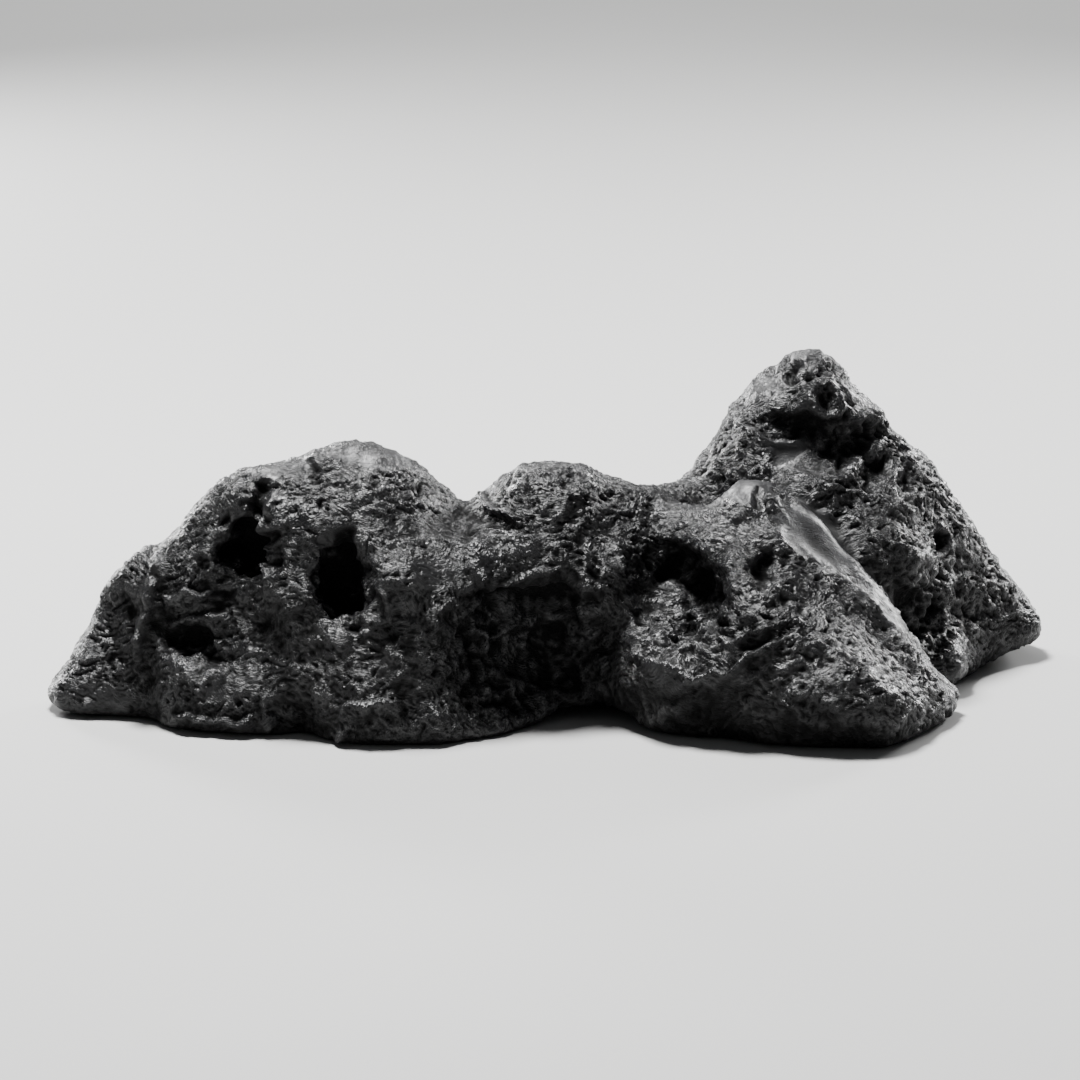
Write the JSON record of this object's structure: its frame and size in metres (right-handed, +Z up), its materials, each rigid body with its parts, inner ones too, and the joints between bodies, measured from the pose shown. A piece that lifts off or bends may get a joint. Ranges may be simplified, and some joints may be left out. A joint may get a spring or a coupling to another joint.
{
  "type": "suiseki viewing stone",
  "caption": "Black viewing stone shaped like a distant mountain range, with a domed west range, a tall peak behind, caves in its face and a flat base.",
  "frame": {"origin": "on the table, under the middle of the stone's bounding box", "axes": "+X along the range to the viewer's right, +Y away from the viewer, +Z up"},
  "size_m": [0.283, 0.1316, 0.0939],
  "materials": {
    "stone": "black natural stone, waxed, semi-gloss on worn ridges and duller in the pits"
  },
  "bodies": {
    "root": {"stone": "stone"}
  },
  "joints": []
}
